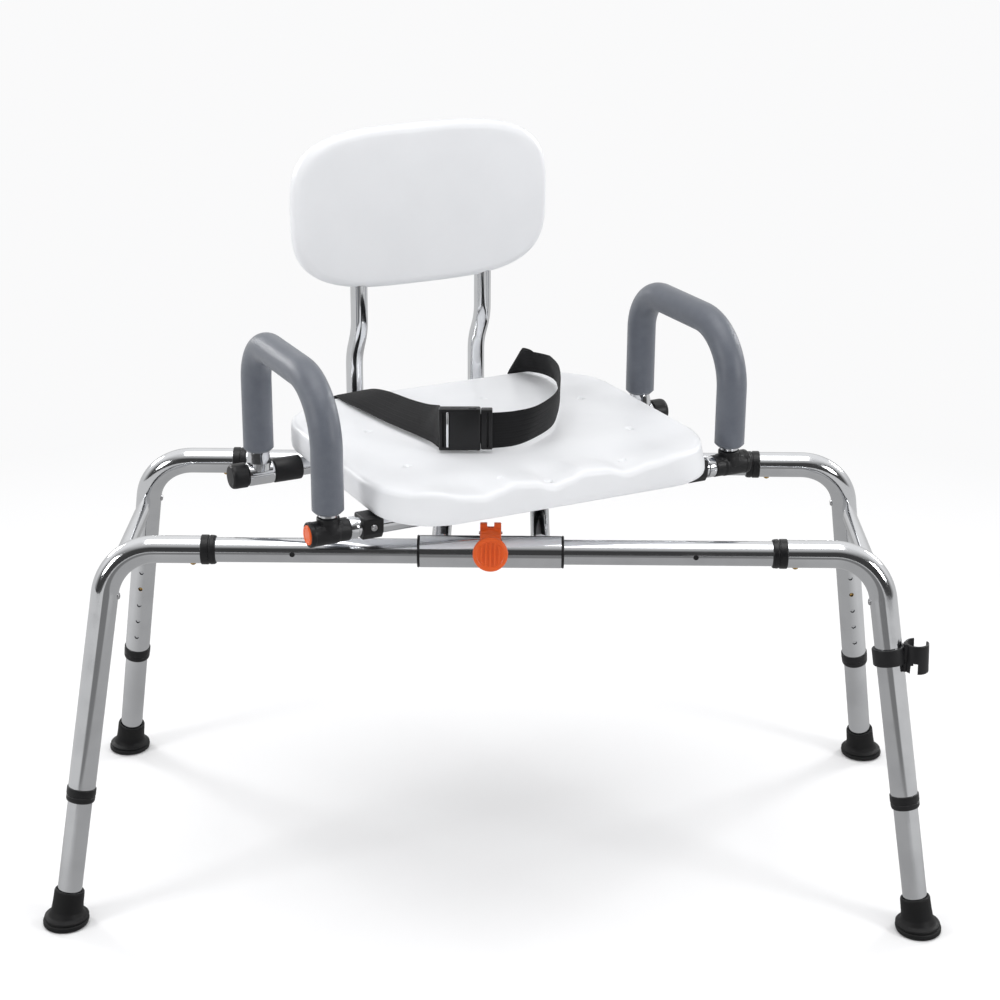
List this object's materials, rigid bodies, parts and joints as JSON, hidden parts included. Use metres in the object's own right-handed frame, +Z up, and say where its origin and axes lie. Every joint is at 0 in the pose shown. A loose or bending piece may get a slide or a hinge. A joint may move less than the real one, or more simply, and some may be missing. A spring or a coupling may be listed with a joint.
{
  "type": "bath transfer bench",
  "caption": "Sliding and swivelling bath transfer bench on height-adjustable legs, with backrest, flip-up padded arms and a lap belt.",
  "frame": {"origin": "on the floor, under the middle of the bounding box", "axes": "+Z up, X along the rails (the sliding direction), the bench's user side towards -Y"},
  "size_m": [1.067, 0.5212, 0.8778],
  "materials": {
    "chrome": "bright chrome plating",
    "polished_tube": "polished tube",
    "black_plastic": "satin moulded black",
    "orange_plastic": "satin moulded orange",
    "white_plastic": "fine-textured blow-moulded white",
    "rubber": "matte",
    "brass": "bright",
    "foam": "closed-cell foam with skin",
    "webbing": "woven polypropylene",
    "black_steel": "powder coat"
  },
  "bodies": {
    "root": {"end_tube_front_left": "chrome", "rail_collar_front_left": "black_plastic", "leg_collar_front_left": "black_plastic", "end_tube_front_right": "chrome", "rail_collar_front_right": "black_plastic", "leg_collar_front_right": "black_plastic", "end_tube_rear_left": "chrome", "rail_collar_rear_left": "black_plastic", "leg_collar_rear_left": "black_plastic", "end_tube_rear_right": "chrome", "rail_collar_rear_right": "black_plastic", "leg_collar_rear_right": "black_plastic", "inner_rail_front": "polished_tube", "inner_rail_rear": "polished_tube", "brace_left": "chrome", "brace_right": "chrome", "shower_holder": "black_plastic"},
    "carriage": {"sleeve_front": "chrome", "sleeve_rear": "chrome", "cross_tube_left": "chrome", "cross_tube_right": "chrome", "swivel_base": "black_steel"},
    "lever": {"lock_lever": "orange_plastic"},
    "seat": {"swivel_top": "black_steel", "seat_tube_front": "chrome", "seat_tube_rear": "chrome", "seat_shell": "white_plastic", "back_panel": "white_plastic", "back_tube_left": "chrome", "back_tube_right": "chrome", "arm_socket_left": "black_plastic", "arm_socket_right": "black_plastic", "axle_cap_left": "black_plastic", "axle_cap_right": "black_plastic", "belt_left": "webbing", "belt_right": "webbing", "buckle_socket": "black_plastic", "buckle_plug": "black_plastic"},
    "release_left": {"release_button_left": "orange_plastic"},
    "release_right": {"release_button_right": "orange_plastic"},
    "arm_left": {"arm_tube_left": "chrome", "grip_left": "foam"},
    "arm_right": {"arm_tube_right": "chrome", "grip_right": "foam"},
    "leg_front_left": {"inner_leg_front_left": "polished_tube", "foot_front_left": "rubber"},
    "leg_snap_front_left": {"leg_button_front_left": "brass"},
    "rail_snap_front_left": {"rail_button_front_left": "brass"},
    "leg_front_right": {"inner_leg_front_right": "polished_tube", "foot_front_right": "rubber"},
    "leg_snap_front_right": {"leg_button_front_right": "brass"},
    "rail_snap_front_right": {"rail_button_front_right": "brass"},
    "leg_rear_left": {"inner_leg_rear_left": "polished_tube", "foot_rear_left": "rubber"},
    "leg_snap_rear_left": {"leg_button_rear_left": "brass"},
    "rail_snap_rear_left": {"rail_button_rear_left": "brass"},
    "leg_rear_right": {"inner_leg_rear_right": "polished_tube", "foot_rear_right": "rubber"},
    "leg_snap_rear_right": {"leg_button_rear_right": "brass"},
    "rail_snap_rear_right": {"rail_button_rear_right": "brass"}
  },
  "joints": [
    {"name": "carriage_slide", "type": "slide", "parent": "root", "child": "carriage", "axis": [1, 0, 0], "range_m": [-0.226, 0.234]},
    {"name": "lever_pull", "type": "hinge", "parent": "carriage", "child": "lever", "pos_m": [-0.004, -0.15706, 0.47], "axis": [-1, 0, 0], "range_deg": [0, 12], "stiffness_Nm_per_rad": 0.6, "springref_deg": -8.59},
    {"name": "seat_swivel", "type": "hinge", "parent": "carriage", "child": "seat", "pos_m": [-0.004, -0.00406, 0.498], "axis": [0, 0, 1], "continuous": true},
    {"name": "arm_flip_left", "type": "hinge", "parent": "seat", "child": "arm_left", "pos_m": [-0.2806, -0.03501, 0.498], "axis": [-0.891, -0.454, 0], "range_deg": [0, 90]},
    {"name": "release_press_left", "type": "slide", "parent": "seat", "child": "release_left", "axis": [0.891, 0.454, 0], "range_m": [0, 0.004], "stiffness_N_per_m": 500, "springref_m": -0.003},
    {"name": "arm_flip_right", "type": "hinge", "parent": "seat", "child": "arm_right", "pos_m": [0.18362, 0.20152, 0.498], "axis": [-0.891, -0.454, 0], "range_deg": [0, 90]},
    {"name": "release_press_right", "type": "slide", "parent": "seat", "child": "release_right", "axis": [-0.891, -0.454, 0], "range_m": [0, 0.004], "stiffness_N_per_m": 500, "springref_m": -0.003},
    {"name": "leg_extend_front_left", "type": "slide", "parent": "root", "child": "leg_front_left", "axis": [-0.1417, -0.1634, -0.9763], "range_m": [-0.0254, 0.0762]},
    {"name": "leg_snap_front_left", "type": "slide", "parent": "leg_front_left", "child": "leg_snap_front_left", "axis": [-0.0235, 0.9866, -0.1618], "range_m": [0, 0.0035], "stiffness_N_per_m": 600},
    {"name": "rail_snap_front_left", "type": "slide", "parent": "root", "child": "rail_snap_front_left", "axis": [0, 0, 1], "range_m": [0, 0.003], "stiffness_N_per_m": 600, "springref_m": -0.003},
    {"name": "leg_extend_front_right", "type": "slide", "parent": "root", "child": "leg_front_right", "axis": [0.1417, -0.1634, -0.9763], "range_m": [-0.0254, 0.0762]},
    {"name": "leg_snap_front_right", "type": "slide", "parent": "leg_front_right", "child": "leg_snap_front_right", "axis": [0.0235, 0.9866, -0.1618], "range_m": [0, 0.0035], "stiffness_N_per_m": 600},
    {"name": "rail_snap_front_right", "type": "slide", "parent": "root", "child": "rail_snap_front_right", "axis": [0, 0, 1], "range_m": [0, 0.003], "stiffness_N_per_m": 600, "springref_m": -0.003},
    {"name": "leg_extend_rear_left", "type": "slide", "parent": "root", "child": "leg_rear_left", "axis": [-0.1417, 0.1634, -0.9763], "range_m": [-0.0254, 0.0762]},
    {"name": "leg_snap_rear_left", "type": "slide", "parent": "leg_rear_left", "child": "leg_snap_rear_left", "axis": [-0.0235, -0.9866, -0.1618], "range_m": [0, 0.0035], "stiffness_N_per_m": 600},
    {"name": "rail_snap_rear_left", "type": "slide", "parent": "root", "child": "rail_snap_rear_left", "axis": [0, 0, 1], "range_m": [0, 0.003], "stiffness_N_per_m": 600, "springref_m": -0.003},
    {"name": "leg_extend_rear_right", "type": "slide", "parent": "root", "child": "leg_rear_right", "axis": [0.1417, 0.1634, -0.9763], "range_m": [-0.0254, 0.0762]},
    {"name": "leg_snap_rear_right", "type": "slide", "parent": "leg_rear_right", "child": "leg_snap_rear_right", "axis": [0.0235, -0.9866, -0.1618], "range_m": [0, 0.0035], "stiffness_N_per_m": 600},
    {"name": "rail_snap_rear_right", "type": "slide", "parent": "root", "child": "rail_snap_rear_right", "axis": [0, 0, 1], "range_m": [0, 0.003], "stiffness_N_per_m": 600, "springref_m": -0.003}
  ]
}
